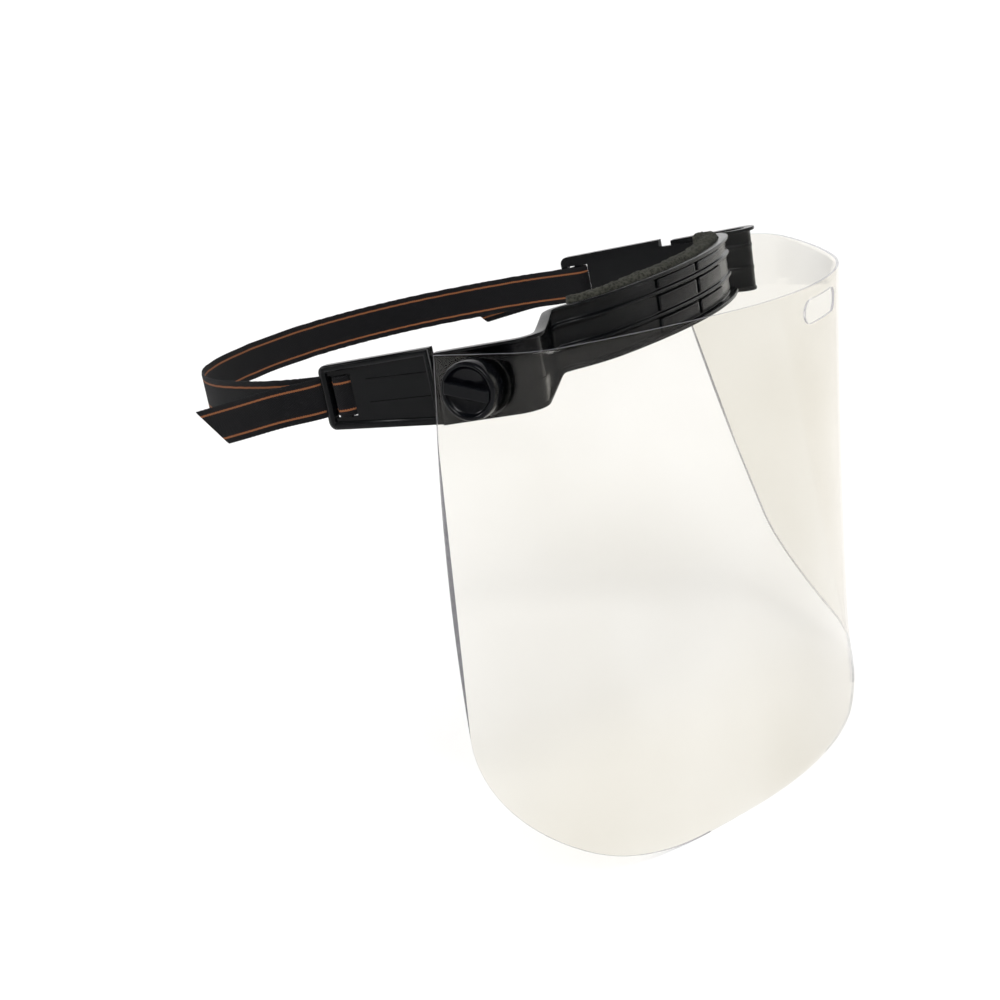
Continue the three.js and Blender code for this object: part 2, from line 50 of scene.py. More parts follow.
# All lengths below are in millimetres. Pivot stack, as distances from the middle plane.
ARM_INNER = 97.9
ARM_OUTER = 100.1
PLATE_MIDDLE = 102.7
SPACER_SPAN = (104.4, 107.2)
VISOR_MIDDLE = 108.0
KNOB_SPAN = (109.9, 118.9)
BORE_RADIUS = 3.3
BORE_PAST = 5

# Knob, with depths measured back from its outer face, and the round boss behind the visor.
KNOB_RADIUS = 10.6
KNOB_RIM_TOP = 0.95
KNOB_DISH_FLOOR = 3.05
KNOB_GRIP = {"deep": 3.6, "half_width": 2.4, "half_length": 8.9, "bevel": 0.7, "tilt": math.radians(12)}
SPACER_RADIUS = 11.3
SPACER_BORE = 3.4

# Visor sheet: plan arcs as (radius, turn) from the front centre to the flat side.
VISOR_HEIGHT = 187
VISOR_TOP = 11
VISOR_REAR = 17
VISOR_FLAT_SIDE = 31
VISOR_FRONT_TURN = math.radians(32)
VISOR_SIDE_ARCS = [(270, math.radians(14)), (24, math.radians(44))]
VISOR_SPLAY = 0.5
VISOR_LEAN = 0.1
VISOR_CORNER_ALONG = 87
VISOR_CORNER_UP = 56
VISOR_THICKNESS = 1
VISOR_COLUMNS, VISOR_ROWS = 180, 60
PIVOT_ZONE = 26
SLOT_LENGTH = 30
SLOT_HEIGHT = 9
SLOT_DROP = 5
SLOT_PAST = 10
CUTTER_STEPS = 48

# Brow band: plan arcs as (radius, turn) from the front centre to the temple step.
BAND_ARCS = [(150, math.radians(20)), (28, math.radians(44)), (5, math.radians(-84))]
STEP_HEADING = math.radians(-20)
STEP_RADIUS = 6
BAND_WALL = 2.4
BAND_LIP = 1.4
BAND_CORNER = 0.5
BAND_RISE = 0.12
SECTION_CHANGE = 12
PLATE_REAR = 19
PLATE_FRONT = 12
PLATE_SECTION = {"bottom": -13, "top": 13.4, "lower_flange": 0.4, "upper_flange": 1.8, "rib": 0.2}
BROW_SECTION = {"bottom": -6.5, "top": 17, "lower_flange": 3.2, "upper_flange": 1.4, "rib": 1.2}
RIB_LEVELS = (0.36, 0.72)
RIB_WIDTH = 2
PANEL_START, PANEL_END = 1.3, 29
PANEL_RISE = 0.7
PANEL_SINK = 0.3
PANEL_GAP = 0.5
PANEL_CORNER = 0.35
PANEL_STEPS = 30
FOAM_THICKNESS = 7
FOAM_RISE = 2
FOAM_END_GAP = 4
FOAM_CORNER = 2.2
FOAM_GLUED = 0.6
STATION_GAP = 0.9

# Rear arms and strap.
ARM_LENGTH = 70
ARM_SHOULDER = {"along": 22, "half": 14}
ARM_REAR_HALF = 12
ARM_CORNER = 3
ARM_BORDER = 2.8
ARM_RAISED = 0.7
TRIM_FOOT, TRIM_INSET, TRIM_CROWN = 0.2, 0.15, 0.25
BUCKLE_FRONT, BUCKLE_BAR, BUCKLE_REAR, BUCKLE_END = 57.4, 60.4, 63.6, 67
BAR_TEETH = 11
TOOTH_REACH = 7.4
TOOTH_HALF = 0.35
TOOTH_SINK, TOOTH_RISE, TOOTH_BEVEL, TOOTH_MARGIN = 0.3, 0.2, 0.15, 0.3
STRAP_WIDTH = 15
STRAP_THICKNESS = 0.9
STRAP_REAR = 172
STRAP_STEPS = 26
STRAP_CORDS = 22
STRIPE_PLACE, STRIPE_HALF = 0.34, 0.024
STRAP_FACE_STEPS = 14
SELVAGE = {"inset": 0.1, "wave": 0.08, "pitch": 0.9, "start": 0.9, "thinning": 0.55}
TAIL_LENGTH = 51
TAIL_DROP = 6
TAIL_CUT = 5.5
HARNESS_DROOP = math.radians(4.5)
CLEARANCE = 0.3

# Camera, as seen from the pivot axis in millimetres.
CAMERA_AZIMUTH = math.radians(-60.1)
CAMERA_ELEVATION = math.radians(14.6)
CAMERA_ROLL = math.radians(-7.9)
CAMERA_TARGET = Vector((-24.1, 46.7, -66.5))
CAMERA_DISTANCE = 903
CAMERA_LENS = 82.8


def lerp(a, b, share):
    return a + (b - a) * share


def smoothstep(value, low, high):
    share = min(1, max(0, (value - low) / (high - low)))
    return share * share * (3 - 2 * share)


# --- Meshes ---------------------------------------------------------------------------------------


def placed(point):
    """A point given in millimetres about the pivot, in the row frame in metres."""
    return PIVOT + Vector(point) * MM


def mesh_object(name, points, faces, uvs=None):
    """A smooth-shaded object; points are in millimetres about the pivot, uvs one per point."""
    mesh = bpy.data.meshes.new(name)
    mesh.from_pydata([placed(point) for point in points], [], faces)
    mesh.update()
    if uvs:
        layer = mesh.uv_layers.new(name="UVMap")
        for loop in mesh.loops:
            layer.data[loop.index].uv = uvs[loop.vertex_index]
    mesh.shade_smooth()
    piece = bpy.data.objects.new(name, mesh)
    bpy.context.scene.collection.objects.link(piece)
    return piece


def loft(name, rings, uvs=None, caps=True, loop=False):
    """Skins rings of points into a tube, closed at both ends with caps or joined end to end."""
    count = len(rings[0])
    total = len(rings)
    points = [point for ring in rings for point in ring]
    faces = []
    for ring in range(total if loop else total - 1):
        here = ring * count
        there = ((ring + 1) % total) * count
        for i in range(count):
            j = (i + 1) % count
            faces.append((here + i, here + j, there + j, there + i))
    if caps and not loop:
        faces.append(tuple(reversed(range(count))))
        faces.append(tuple(range((total - 1) * count, total * count)))
    flat_uvs = [uv for ring in uvs for uv in ring] if uvs else None
    piece = mesh_object(name, points, faces, flat_uvs)
    face_outward(piece)
    return piece


def face_outward(piece):
    mesh = piece.data
    volume = 0
    for polygon in mesh.polygons:
        corners = [mesh.vertices[i].co - PIVOT for i in polygon.vertices]
        for second, third in zip(corners[1:], corners[2:]):
            volume += corners[0].dot(second.cross(third))
    if volume < 0:
        mesh.flip_normals()


def rounded(corners, radius, steps=3):
    """A closed outline with every corner cut back and curved."""
    outline = []
    for index, corner in enumerate(corners):
        corner = Vector(corner)
        before = Vector(corners[index - 1])
        after = Vector(corners[(index + 1) % len(corners)])
        reach_in = min(radius, (before - corner).length * 0.45)
        reach_out = min(radius, (after - corner).length * 0.45)
        start = corner + (before - corner).normalized() * reach_in
        end = corner + (after - corner).normalized() * reach_out
        for step in range(steps + 1):
            t = step / steps
            outline.append(start * (1 - t) ** 2 + corner * 2 * t * (1 - t) + end * t * t)
    return outline


def turned(name, profile, side, segments=96):
    """A solid of revolution about the pivot axis; profile is [radius, distance from middle plane]."""
    rings = []
    for step in range(segments):
        angle = 2 * math.pi * step / segments
        rings.append([(side * out, r * math.cos(angle), r * math.sin(angle)) for r, out in profile])
    return loft(name, rings, loop=True)


def side_box(name, side, span, ahead, heights, bevel=0.3):
    """A bevelled box on one side of the head, with ranges across, along Y and along Z."""
    corners = [
        (side * across, along, height) for across in span for along in ahead for height in heights
    ]
    faces = [(0, 1, 3, 2), (4, 6, 7, 5), (0, 4, 5, 1), (2, 3, 7, 6), (0, 2, 6, 4), (1, 5, 7, 3)]
    piece = mesh_object(name, corners, faces)
    face_outward(piece)
    soften(piece, bevel)
    return piece


def soften(piece, width, segments=3):
    """Rounds the sharp edges of a hard part."""
    modifier = piece.modifiers.new("edge", "BEVEL")
    modifier.width = width * MM
    modifier.segments = segments
    modifier.limit_method = "ANGLE"
    modifier.angle_limit = math.radians(35)
    modifier.harden_normals = True


def apply_modifiers(piece):
    with bpy.context.temp_override(object=piece, active_object=piece):
        for modifier in list(piece.modifiers):
            bpy.ops.object.modifier_apply(modifier=modifier.name)


def about_pivot(angle):
    """A turn about the pivot axis."""
    middle = Matrix.Translation(PIVOT)
    return middle @ Matrix.Rotation(angle, 4, "X") @ middle.inverted()


def cut(piece, cutter, material):
    """Takes the cutter out of the piece; the cut faces get the material."""
    cutter.data.materials.append(material)
    modifier = piece.modifiers.new("hole", "BOOLEAN")
    modifier.solver = "EXACT"
    modifier.material_mode = "TRANSFER"
    modifier.object = cutter
    apply_modifiers(piece)
    bpy.data.objects.remove(cutter)


def joined(pieces, name):
    """One object from several, with their modifiers applied first."""
    for piece in pieces:
        apply_modifiers(piece)
    with bpy.context.temp_override(
        active_object=pieces[0], selected_editable_objects=pieces, object=pieces[0]
    ):
        bpy.ops.object.join()
    pieces[0].name = name
    return pieces[0]


# --- Plan curves ----------------------------------------------------------------------------------


def walk_plan(arcs, distance, opening=1):
    """Walks arcs of (radius, turn) from the front centre, then straight on: (across, back, heading)."""
    heading = across = back = 0
    left = distance
    for radius, turn in arcs:
        length = min(left, radius * abs(turn))
        bend = math.copysign(opening, turn) / radius
        after = heading + length * bend
        across += (math.sin(after) - math.sin(heading)) / bend
        back += (math.cos(heading) - math.cos(after)) / bend
        heading = after
        left -= length
    return across + left * math.cos(heading), back + left * math.sin(heading), heading


def arc_length(arcs):
    return sum(radius * abs(turn) for radius, turn in arcs)


def plan_point(arcs, distance, outward, height, front, opening=1):
    side = math.copysign(1, distance)
    across, back, heading = walk_plan(arcs, abs(distance), opening)
    x = side * (across + outward * math.sin(heading))
    y = front + back - outward * math.cos(heading)
    return Vector((x, y, height))


# --- Materials ------------------------------------------------------------------------------------


class Nodes:
    """Short calls for building a material's node tree."""

    def __init__(self, name):
        self.material = bpy.data.materials.new(name)
        self.material.use_nodes = True
        self.tree = self.material.node_tree
        self.tree.nodes.clear()
        self.output = self.add("ShaderNodeOutputMaterial")

    def add(self, kind, **inputs):
        node = self.tree.nodes.new(kind)
        for key, value in inputs.items():
            node.inputs[key.replace("_", " ")].default_value = value
        return node

    def link(self, source, target):
        self.tree.links.new(source, target)

    def noise(self, scale, detail=4, roughness=0.55):
        place = self.add("ShaderNodeTexCoord")
        texture = self.add("ShaderNodeTexNoise", Scale=scale, Detail=detail, Roughness=roughness)
        self.link(place.outputs["Object"], texture.inputs["Vector"])
        return texture.outputs["Fac"]

    def spread(self, value, low, high):
        """Maps 0..1 onto low..high."""
        node = self.add("ShaderNodeMapRange")
        node.inputs["To Min"].default_value = low
        node.inputs["To Max"].default_value = high
        self.link(value, node.inputs["Value"])
        return node.outputs["Result"]

    def math(self, operation, first, second=None):
        node = self.tree.nodes.new("ShaderNodeMath")
        node.operation = operation
        for slot, value in enumerate((first, second)):
            if value is None:
                continue
            if isinstance(value, (int, float)):
                node.inputs[slot].default_value = value
            else:
                self.link(value, node.inputs[slot])
        return node.outputs["Value"]

    def bump(self, height, distance, strength=1.0, normal=None):
        node = self.add("ShaderNodeBump", Strength=strength, Distance=distance)
        self.link(height, node.inputs["Height"])
        if normal is not None:
            self.link(normal, node.inputs["Normal"])
        return node.outputs["Normal"]

    def mix_colour(self, share, first, second):
        node = self.tree.nodes.new("ShaderNodeMix")
        node.data_type = "RGBA"
        self.link(share, node.inputs["Factor"])
        for key, value in (("A", first), ("B", second)):
            socket = next(s for s in node.inputs if s.name == key and s.type == "RGBA")
            if isinstance(value, tuple):
                socket.default_value = (*value, 1)
            else:
                self.link(value, socket)
        return next(s for s in node.outputs if s.type == "RGBA")

    def finish(self, shader):
        self.link(shader, self.output.inputs["Surface"])
        return self.material


def moulded_plastic(name, colour, roughness, grain):
    """Injection-moulded plastic: faint waviness, fine grain and handling marks in the gloss."""
    nodes = Nodes(name)
    shader = nodes.add("ShaderNodeBsdfPrincipled", IOR=1.5)
    shader.inputs["Specular IOR Level"].default_value = 0.12
    marks = nodes.noise(95, 6, 0.65)
    tone = nodes.mix_colour(nodes.noise(40), colour, tuple(channel * 1.5 for channel in colour))
    nodes.link(tone, shader.inputs["Base Color"])
    nodes.link(nodes.spread(marks, roughness * 0.7, roughness * 1.5), shader.inputs["Roughness"])
    wavy = nodes.bump(nodes.noise(60, 2), 0.0004, 0.35)
    nodes.link(nodes.bump(nodes.noise(2600, 2), 0.00004, grain, wavy), shader.inputs["Normal"])
    return nodes.finish(shader.outputs["BSDF"])


def turned_metal():
    nodes = Nodes("zinc_steel")
    shader = nodes.add("ShaderNodeBsdfPrincipled", Metallic=1.0)
    tone = nodes.mix_colour(nodes.noise(300), (0.52, 0.53, 0.54), (0.66, 0.66, 0.65))
    nodes.link(tone, shader.inputs["Base Color"])
    nodes.link(nodes.spread(nodes.noise(900, 3), 0.2, 0.42), shader.inputs["Roughness"])
    nodes.link(nodes.bump(nodes.noise(1500, 2), 0.00003, 0.4), shader.inputs["Normal"])
    return nodes.finish(shader.outputs["BSDF"])


def open_cell_foam():
    nodes = Nodes("open_cell_foam")
    place = nodes.add("ShaderNodeTexCoord")
    cells = nodes.add("ShaderNodeTexVoronoi", Scale=850)
    nodes.link(place.outputs["Object"], cells.inputs["Vector"])
    pores = nodes.spread(cells.outputs["Distance"], 0.0, 1.4)
    shader = nodes.add("ShaderNodeBsdfPrincipled", Roughness=1.0, IOR=1.3)
    worn = nodes.mix_colour(nodes.noise(90, 5), (0.026, 0.0265, 0.021), (0.06, 0.06, 0.048))
    # Painted shade: the colour goes near black in the cell hollows, where shade falls; the same cell
    # pattern also dents the surface through the bump.
    tone = nodes.mix_colour(pores, (0.004, 0.004, 0.003), worn)
    nodes.link(tone, shader.inputs["Base Color"])
    lumps = nodes.bump(nodes.noise(700, 4, 0.7), 0.0007, 0.7)
    nodes.link(nodes.bump(pores, 0.0005, 0.9, lumps), shader.inputs["Normal"])
    return nodes.finish(shader.outputs["BSDF"])


def striped_webbing():
    """Woven elastic: U runs along the strap in millimetres, V across it from 0 to 1."""
    nodes = Nodes("striped_webbing")
    place = nodes.add("ShaderNodeUVMap")
    place.uv_map = "UVMap"
    axes = nodes.add("ShaderNodeSeparateXYZ")
    nodes.link(place.outputs["UV"], axes.inputs["Vector"])
    along, across = axes.outputs["X"], axes.outputs["Y"]
    picks = nodes.math("SINE", nodes.math("MULTIPLY", along, 2 * math.pi / SELVAGE["pitch"]))
    cords = nodes.math("SINE", nodes.math("MULTIPLY", across, 2 * math.pi * STRAP_CORDS))
    weave = nodes.spread(nodes.math("MULTIPLY", picks, cords), 0.2, 0.8)
    from_middle = nodes.math("ABSOLUTE", nodes.math("SUBTRACT", across, 0.5))
    from_stripe = nodes.math("ABSOLUTE", nodes.math("SUBTRACT", from_middle, STRIPE_PLACE))
    wander = nodes.math("MULTIPLY", picks, 0.005)
    on_stripe = nodes.math("LESS_THAN", nodes.math("ADD", from_stripe, wander), STRIPE_HALF)
    black = nodes.mix_colour(weave, (0.0012, 0.0013, 0.0018), (0.008, 0.008, 0.0095))
    orange = nodes.mix_colour(weave, (0.14, 0.05, 0.02), (0.36, 0.14, 0.06))
    shader = nodes.add("ShaderNodeBsdfPrincipled", Roughness=0.82, IOR=1.4)
    shader.inputs["Specular IOR Level"].default_value = 0.15
    shader.inputs["Sheen Weight"].default_value = 0.02
    nodes.link(nodes.mix_colour(on_stripe, black, orange), shader.inputs["Base Color"])
    fuzz = nodes.bump(nodes.noise(2200, 3), 0.0001, 0.5)
    nodes.link(nodes.bump(weave, 0.0006, 1.0, fuzz), shader.inputs["Normal"])
    return nodes.finish(shader.outputs["BSDF"])


def clear_sheet():
    """A thin polished sheet: light passes straight through and each face mirrors a little."""
    nodes = Nodes("clear_sheet")
    through = nodes.add("ShaderNodeBsdfTransparent")
    streaks = nodes.noise(11, 2, 0.4)
    haze = nodes.mix_colour(streaks, (0.885, 0.872, 0.835), (0.988, 0.985, 0.976))
    nodes.link(haze, through.inputs["Color"])
    mirror = nodes.add("ShaderNodeBsdfGlossy", Color=(1, 0.985, 0.965, 1))
    smears = nodes.noise(26, 6, 0.7)
    nodes.link(nodes.spread(smears, 0.015, 0.075), mirror.inputs["Roughness"])
    ripple = nodes.bump(nodes.noise(9, 1), 0.0012, 0.25)
    nodes.link(ripple, mirror.inputs["Normal"])
    turned_away = nodes.add("ShaderNodeLayerWeight", Blend=0.5).outputs["Facing"]
    grazing = nodes.math("POWER", turned_away, 5)
    blend = nodes.add("ShaderNodeMixShader")
    nodes.link(nodes.spread(grazing, 0.012, 0.5), blend.inputs["Fac"])
    nodes.link(through.outputs["BSDF"], blend.inputs[1])
    nodes.link(mirror.outputs["BSDF"], blend.inputs[2])
    return nodes.finish(blend.outputs["Shader"])


def cut_edge():
    """The sheet's rim, where light gathers and the sheet looks grey with a violet cast."""
    nodes = Nodes("clear_sheet_edge")
    through = nodes.add("ShaderNodeBsdfTransparent", Color=(0.78, 0.78, 0.82, 1))
    body = nodes.add("ShaderNodeBsdfPrincipled", Roughness=0.25, IOR=1.55)
    tone = nodes.mix_colour(nodes.noise(500, 3), (0.26, 0.26, 0.3), (0.5, 0.5, 0.54))
    nodes.link(tone, body.inputs["Base Color"])
    blend = nodes.add("ShaderNodeMixShader", Fac=0.48)
    nodes.link(through.outputs["BSDF"], blend.inputs[1])
    nodes.link(body.outputs["BSDF"], blend.inputs[2])
    return nodes.finish(blend.outputs["Shader"])


def studio_surface():
    nodes = Nodes("studio_floor")
    shader = nodes.add("ShaderNodeBsdfPrincipled", Roughness=0.9)
    tone = nodes.mix_colour(nodes.noise(3), (0.86, 0.86, 0.86), (0.9, 0.9, 0.9))
    nodes.link(tone, shader.inputs["Base Color"])
    return nodes.finish(shader.outputs["BSDF"])


BAND_PLASTIC = moulded_plastic("band_plastic", (0.0012, 0.0014, 0.0017), 0.2, 0.25)
KNOB_PLASTIC = moulded_plastic("knob_plastic", (0.0012, 0.0014, 0.002), 0.16, 0.2)
NYLON = moulded_plastic("washer_nylon", (0.02, 0.02, 0.022), 0.45, 0.5)
STEEL = turned_metal()
FOAM = open_cell_foam()
WEBBING = striped_webbing()
SHEET = clear_sheet()
SHEET_EDGE = cut_edge()


def dress(piece, material, body, slot, *nodes):
    """Gives a piece its material and body, and hides the CAD nodes it stands for."""
    if not piece.data.materials:
        piece.data.materials.append(material)
    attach(piece, body)
    if nodes:
        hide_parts(*nodes)
    return piece


# --- Visor ----------------------------------------------------------------------------------------


def visor_arcs():
    heading = VISOR_FRONT_TURN
    side_width = 0
    for radius, turn in VISOR_SIDE_ARCS:
        side_width += radius * (math.sin(heading + turn) - math.sin(heading))
        heading += turn
    front_radius = (VISOR_MIDDLE - side_width) / math.sin(VISOR_FRONT_TURN)
    return [(front_radius, VISOR_FRONT_TURN), *VISOR_SIDE_ARCS]


def visor_drop(from_rear):
    inset = max(0, 1 - from_rear / VISOR_CORNER_ALONG)
    return VISOR_HEIGHT - VISOR_CORNER_UP * (1 - math.sqrt(1 - inset * inset))


def visor_point(arcs, front, distance, depth, outward):
    freed = max(0, depth - PIVOT_ZONE) / (VISOR_HEIGHT - PIVOT_ZONE)
    opening = 1 - VISOR_SPLAY * freed
    leaning = front + VISOR_LEAN * depth
    return plan_point(arcs, distance, outward, VISOR_TOP - depth, leaning, opening)


def build_visor():
    arcs = visor_arcs()
    half_length = arc_length(arcs) + VISOR_FLAT_SIDE
    front = VISOR_REAR - walk_plan(arcs, half_length)[1]
    columns, rows = VISOR_COLUMNS, VISOR_ROWS
    half = VISOR_THICKNESS / 2
    rings = []
    for column in range(columns + 1):
        distance = half_length * math.sin((column / columns - 0.5) * math.pi)
        drop = visor_drop(half_length - abs(distance))
        depths = [drop * row / rows for row in range(rows + 1)]
        outer = [visor_point(arcs, front, distance, depth, half) for depth in depths]
        inner = [visor_point(arcs, front, distance, depth, -half) for depth in depths]
        rings.append(outer + inner[::-1])
    sheet = loft("visor_sheet", rings)
    sheet.data.materials.append(SHEET)
    sheet.data.materials.append(SHEET_EDGE)
    mark_rim(sheet, rows)
    cut(sheet, slot_cutter(front), SHEET_EDGE)
    cut(sheet, bore_cutter(), SHEET_EDGE)
    dress(sheet, SHEET, "visor", "clear_sheet", "visor")


def mark_rim(sheet, rows):
    """Gives the four narrow borders of the sheet the cut-edge material."""
    count = 2 * (rows + 1)
    for polygon in sheet.data.polygons:
        steps = {index % count for index in polygon.vertices}
        crosses_top = steps == {0, count - 1}
        crosses_bottom = steps == {rows, rows + 1}
        is_end = len(polygon.vertices) > 4
        if crosses_top or crosses_bottom or is_end:
            polygon.material_index = 1


def slot_cutter(front):
    """The oblong hanging slot near the top of the visor's front."""
    radius = SLOT_HEIGHT / 2
    reach = SLOT_LENGTH / 2 - radius
    middle = VISOR_TOP - SLOT_DROP - radius
    outline = []
    for step in range(CUTTER_STEPS):
        angle = 2 * math.pi * step / CUTTER_STEPS
        shift = reach if math.cos(angle) > 0 else -reach
        outline.append((shift + radius * math.cos(angle), middle + radius * math.sin(angle)))
    ends = (front - SLOT_PAST, front + SLOT_PAST)
    return loft("slot_cutter", [[(x, y, z) for x, z in outline] for y in ends])


def bore_cutter():
    """A rod along the pivot axis, past both sides of the sheet."""
    reach = VISOR_MIDDLE + BORE_PAST
    circle = [2 * math.pi * step / CUTTER_STEPS for step in range(CUTTER_STEPS)]
    rings = [
        [(x, BORE_RADIUS * math.cos(angle), BORE_RADIUS * math.sin(angle)) for angle in circle]
        for x in (-reach, reach)
    ]
    return loft("bore_cutter", rings)


# --- Brow band ------------------------------------------------------------------------------------


BandLayout = namedtuple("BandLayout", "arcs plate_start half_length front")


def band_layout():
    temple = walk_plan(BAND_ARCS, arc_length(BAND_ARCS))[0]
    last_width = STEP_RADIUS * (1 - math.sin(STEP_HEADING))
    step_length = (PLATE_MIDDLE - temple - last_width) / math.cos(STEP_HEADING)
    nearly_straight = 1e5
    step_turn = step_length / nearly_straight
    last_turn = (STEP_RADIUS, math.pi / 2 - STEP_HEADING - step_turn)
    arcs = [*BAND_ARCS, (nearly_straight, step_turn), last_turn]
    plate_start = arc_length(arcs)
    half_length = plate_start + PLATE_FRONT + PLATE_REAR
    front = PLATE_REAR - walk_plan(arcs, half_length)[1]
    return BandLayout(arcs, plate_start, half_length, front)


BAND = band_layout()


def band_point(distance, outward, height):
    point = plan_point(BAND.arcs, distance, outward, height, BAND.front)
    point.z -= BAND_RISE * point.y
    return point


def band_section(distance):
    """The wall with rounded lips and two long ribs, as (outward, height) corners."""
    change_start = arc_length(BAND_ARCS) - SECTION_CHANGE
    share = smoothstep(abs(distance), change_start, BAND.plate_start - STEP_RADIUS)
    size = {key: lerp(BROW_SECTION[key], PLATE_SECTION[key], share) for key in BROW_SECTION}
    inner, outer = -BAND_WALL / 2, BAND_WALL / 2
    bottom, top, rib = size["bottom"], size["top"], size["rib"]
    low, high = outer + size["lower_flange"], outer + size["upper_flange"]
    corners = [(inner, bottom), (low, bottom), (low, bottom + BAND_LIP), (outer, bottom + BAND_LIP)]
    for level in RIB_LEVELS:
        height = lerp(bottom, top, level)
        corners.append((outer, height - RIB_WIDTH / 2))
        corners.append((outer + rib, height - RIB_WIDTH / 4))
        corners.append((outer + rib, height + RIB_WIDTH / 4))
        corners.append((outer, height + RIB_WIDTH / 2))
    corners.append((outer, top - BAND_LIP))
    corners += [(high, top - BAND_LIP), (high, top), (inner, top)]
    return rounded(corners, BAND_CORNER)


def build_band():
    half_length = BAND.half_length
    pieces = 2 * int(half_length / STATION_GAP)
    rings = []
    for step in range(pieces + 1):
        distance = half_length * (2 * step / pieces - 1)
        rings.append([band_point(distance, out, up) for out, up in band_section(distance)])
    band = loft("brow_band_shell", rings)
    band.data.materials.append(BAND_PLASTIC)
    cut(band, bore_cutter(), BAND_PLASTIC)
    dress(band, BAND_PLASTIC, "band", "band_plastic", "brow_band")


def build_front_panels():
    """Raised panels between the ribs of the brow, parted by a groove at the front centre."""
    outer = BAND_WALL / 2
    bottom, top = BROW_SECTION["bottom"], BROW_SECTION["top"]
    ribs = [lerp(bottom, top, level) for level in RIB_LEVELS]
    floors = [bottom + BAND_LIP + PANEL_GAP, *(rib + RIB_WIDTH / 2 + PANEL_GAP for rib in ribs)]
    ceilings = [*(rib - RIB_WIDTH / 2 - PANEL_GAP for rib in ribs), top - BAND_LIP - PANEL_GAP]
    panels = []
    for low, high in zip(floors, ceilings):
        corners = [(outer - PANEL_SINK, low), (outer + PANEL_RISE, low)]
        corners += [(outer + PANEL_RISE, high), (outer - PANEL_SINK, high)]
        section = rounded(corners, PANEL_CORNER)
        for side in (-1, 1):
            rings = []
            for step in range(PANEL_STEPS + 1):
                distance = side * lerp(PANEL_START, PANEL_END, step / PANEL_STEPS)
                rings.append([band_point(distance, out, up) for out, up in section])
            panels.append(loft("front_panel", rings))
    dress(joined(panels, "front_panels"), BAND_PLASTIC, "band", "band_plastic")


def build_foam():
    """The lining: a soft-edged pad with an irregular open-cell surface."""
    foam_end = arc_length(BAND_ARCS[:2]) - FOAM_END_GAP
    outer = -BAND_WALL / 2 - CLEARANCE
    inner = outer - FOAM_THICKNESS
    bottom = BROW_SECTION["bottom"] + FOAM_RISE
    top = BROW_SECTION["top"] + FOAM_RISE
    soft = rounded([(inner, bottom), (outer, bottom), (outer, top), (inner, top)], FOAM_CORNER, 5)
    outline = spaced(soft, STATION_GAP)
    pieces = int(2 * foam_end / STATION_GAP)
    middle = Vector(((inner + outer) / 2, (bottom + top) / 2))
    rings = []
    for step in range(pieces + 1):
        distance = foam_end * (2 * step / pieces - 1)
        ring = []
        for out, up in outline:
            point = band_point(distance, out, up)
            pores = noise.noise(point * 1.1) * 0.55
            swells = noise.noise(point * 0.22) * 0.5
            is_free = 1 if out < outer - FOAM_GLUED else 0
            away = (Vector((out, up)) - middle).normalized() * (pores + swells) * is_free
            ring.append(band_point(distance, out + away.x, up + away.y))
        rings.append(ring)
    pad = loft("foam_pad", rings)
    dress(pad, FOAM, "band", "foam", "sweatband_foam")


def spaced(outline, gap):
    """The same closed outline with points no further apart than the gap."""
    points = []
    for index, point in enumerate(outline):
        after = outline[(index + 1) % len(outline)]
        pieces = max(1, math.ceil((after - point).length / gap))
        points += [point.lerp(after, piece / pieces) for piece in range(pieces)]
    return points


# --- Pivot hardware -------------------------------------------------------------------------------


def build_knob(side, name):
    """A dish inside a thin raised rim, with a grip bar across it."""
    inner, outer = KNOB_SPAN
    profile = [
        (0.01, inner),
        (9.8, inner),
        (10.3, inner + 0.2),
        (KNOB_RADIUS, inner + 0.8),
        (10.55, outer - 2.4),
        (10.4, outer - 1.7),
        (10.1, outer - 1.2),
        (9.6, outer - KNOB_RIM_TOP),
        (9.1, outer - 1.05),
        (8.7, outer - 1.5),
        (8.3, outer - 2.3),
        (7.6, outer - 2.7),
        (4.0, outer - 3.0),
        (0.01, outer - KNOB_DISH_FLOOR),
    ]
    dish = turned(f"{name}_dish", profile, side)
    width, length = KNOB_GRIP["half_width"], KNOB_GRIP["half_length"]
    across = (outer - KNOB_GRIP["deep"], outer)
    bar = side_box(f"{name}_grip", side, across, (-width, width), (-length, length), KNOB_GRIP["bevel"])
    bar.data.transform(about_pivot(math.pi / 2 + KNOB_GRIP["tilt"]))
    knob = joined([dish, bar], f"{name}_turned")
    dress(knob, KNOB_PLASTIC, name, "knob_plastic", name)


def build_spacer(side, suffix):
    """The round boss behind the visor, with its edges eased."""
    inner, outer = SPACER_SPAN
    profile = [
        (SPACER_BORE, inner),
        (SPACER_RADIUS - 0.2, inner),
        (SPACER_RADIUS, inner + 0.2),
        (SPACER_RADIUS, outer - 0.5),
        (SPACER_RADIUS - 0.2, outer - 0.15),
        (SPACER_RADIUS - 0.5, outer),
        (SPACER_BORE, outer),
    ]
    spacer = turned(f"spacer_boss_{suffix}", profile, side)
    dress(spacer, BAND_PLASTIC, "band", "band_plastic", f"spacer_disc_{suffix}")


def dress_hardware():
    """Small CAD parts that are already their true shape get rounded edges and a finish."""
    finishes = {
        "pivot_bolt": (STEEL, 0.25),
        "head_washer": (STEEL, 0.12),
        "knob_insert": (STEEL, 0.12),
        "arm_washer": (NYLON, 0.12),
        "friction_washer": (NYLON, 0.12),
        "arm": (BAND_PLASTIC, 0.3),
    }
    for stem, (material, bevel) in finishes.items():
        for suffix in ("right", "left"):
            part = frame["nodes"][f"{stem}_{suffix}"]
            part.data.materials.clear()
            part.data.materials.append(material)
            part.data.shade_smooth()
            soften(part, bevel)


# --- Rear arms ------------------------------------------------------------------------------------


def drooped(point):
    """A point of the harness swung down behind the pivot to where the arms hang."""
    return Matrix.Rotation(-HARNESS_DROOP, 3, "X") @ Vector(point)


